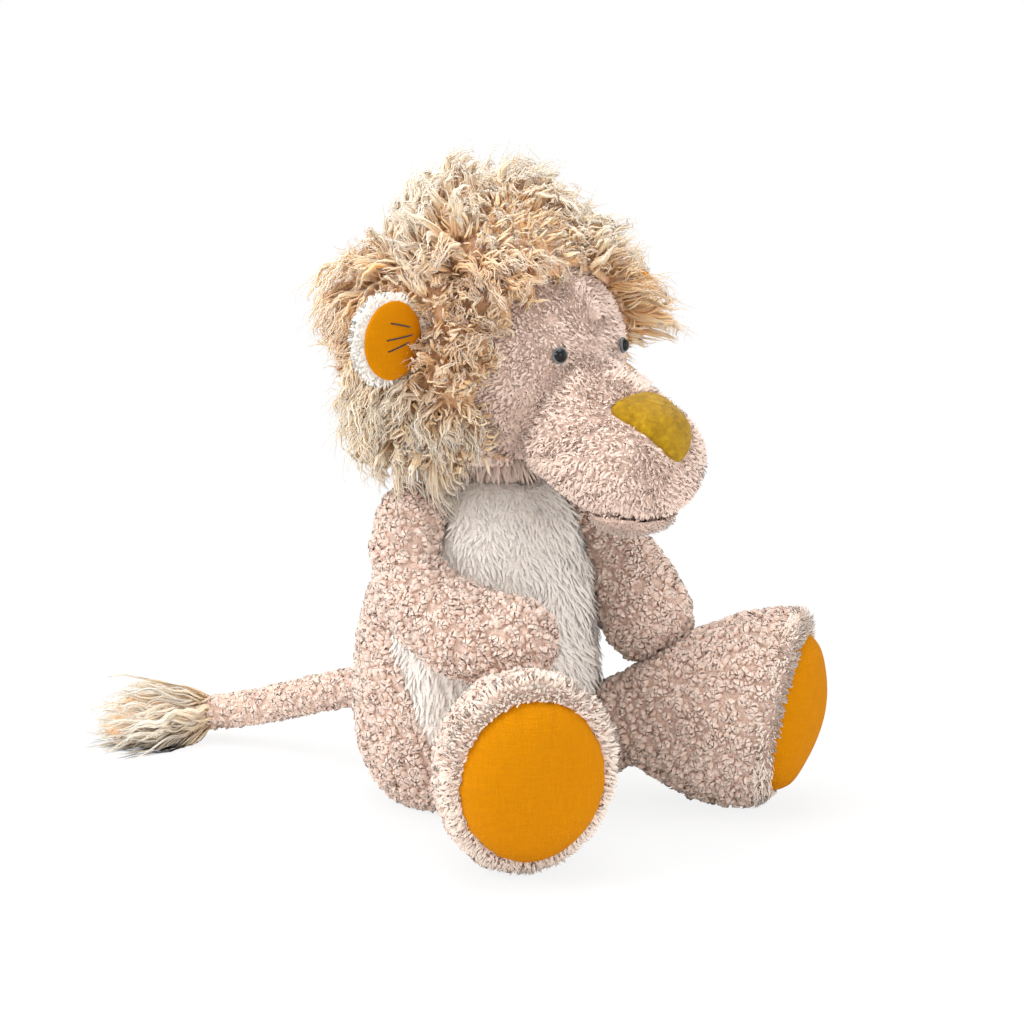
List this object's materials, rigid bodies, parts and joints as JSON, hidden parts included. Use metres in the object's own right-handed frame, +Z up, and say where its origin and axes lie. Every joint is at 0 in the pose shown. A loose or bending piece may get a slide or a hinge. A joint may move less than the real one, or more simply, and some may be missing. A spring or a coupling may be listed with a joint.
{
  "type": "plush lion",
  "caption": "Seated plush lion with a curly mane, round ears, a blunt muzzle, linen foot soles, posable limbs and head, and a tufted tail.",
  "frame": {"origin": "centre of the flat seat, on the surface the lion sits on", "axes": "+Z up, -Y the way the lion faces, +X to the lion's left; the tail lies along +Y"},
  "size_m": [0.253, 0.3689, 0.315],
  "materials": {
    "taupe_boucle": "curly boucle plush, matt",
    "cream_plush": "short brushed plush, matt",
    "mane_mohair": "long wavy mohair locks, silky",
    "mustard_linen": "slubby plain-woven linen, matt",
    "nose_felt": "pressed wool felt, mottled",
    "polyester_filling": "loose fibre filling",
    "pellet_bag_cloth": "plain woven cotton",
    "eye_glass": "polished dome over black, grey rim",
    "washer_plastic": "moulded"
  },
  "bodies": {
    "torso": {"torso_back": "taupe_boucle", "belly_panel": "cream_plush", "torso_stuffing": "polyester_filling", "pellet_bag": "pellet_bag_cloth"},
    "neck": {"neck_stuffing": "polyester_filling"},
    "head": {"face_panel": "taupe_boucle", "muzzle_cover": "taupe_boucle", "chin": "taupe_boucle", "nose": "nose_felt", "mane": "mane_mohair", "head_stuffing": "polyester_filling", "eye_right": "eye_glass", "eye_left": "eye_glass", "eye_washer_right": "washer_plastic", "eye_washer_left": "washer_plastic"},
    "ear_right": {"ear_back_right": "cream_plush", "ear_lining_right": "mustard_linen"},
    "ear_left": {"ear_back_left": "cream_plush", "ear_lining_left": "mustard_linen"},
    "arm_right": {"arm_cover_right": "taupe_boucle", "arm_stuffing_right": "polyester_filling"},
    "arm_left": {"arm_cover_left": "taupe_boucle", "arm_stuffing_left": "polyester_filling"},
    "leg_right": {"leg_cover_right": "taupe_boucle", "leg_stuffing_right": "polyester_filling", "sole_right": "mustard_linen"},
    "leg_left": {"leg_cover_left": "taupe_boucle", "leg_stuffing_left": "polyester_filling", "sole_left": "mustard_linen"},
    "tail": {"tail_cover": "taupe_boucle", "tail_stuffing": "polyester_filling", "tail_tuft": "mane_mohair"}
  },
  "joints": [
    {"name": "neck_turn", "type": "hinge", "parent": "torso", "child": "neck", "pos_m": [0, -0.013, 0.172], "axis": [0, 0, 1], "range_deg": [-25, 25]},
    {"name": "head_nod", "type": "hinge", "parent": "neck", "child": "head", "pos_m": [0, -0.013, 0.172], "axis": [1, 0, 0], "range_deg": [-8, 12]},
    {"name": "ear_fold_right", "type": "hinge", "parent": "head", "child": "ear_right", "pos_m": [-0.06162, -0.022, 0.245], "axis": [0, 0, 1], "range_deg": [-15, 15], "stiffness_Nm_per_rad": 0.01},
    {"name": "ear_fold_left", "type": "hinge", "parent": "head", "child": "ear_left", "pos_m": [0.06162, -0.022, 0.245], "axis": [0, 0, 1], "range_deg": [-15, 15], "stiffness_Nm_per_rad": 0.01},
    {"name": "shoulder_right", "type": "hinge", "parent": "torso", "child": "arm_right", "pos_m": [-0.04743, -0.0011, 0.149], "axis": [-0.7071, 0.7071, 0], "range_deg": [0, 35]},
    {"name": "shoulder_left", "type": "hinge", "parent": "torso", "child": "arm_left", "pos_m": [0.04743, -0.0011, 0.149], "axis": [-0.7071, -0.7071, 0], "range_deg": [0, 35]},
    {"name": "hip_right", "type": "hinge", "parent": "torso", "child": "leg_right", "pos_m": [-0.04015, -0.04157, 0.03], "axis": [1, 0, 0], "range_deg": [0, 60]},
    {"name": "hip_left", "type": "hinge", "parent": "torso", "child": "leg_left", "pos_m": [0.04015, -0.04157, 0.03], "axis": [1, 0, 0], "range_deg": [0, 60]},
    {"name": "tail_sweep", "type": "hinge", "parent": "torso", "child": "tail", "pos_m": [0, 0.06422, 0.041], "axis": [0, 0, 1], "range_deg": [-30, 30]}
  ]
}
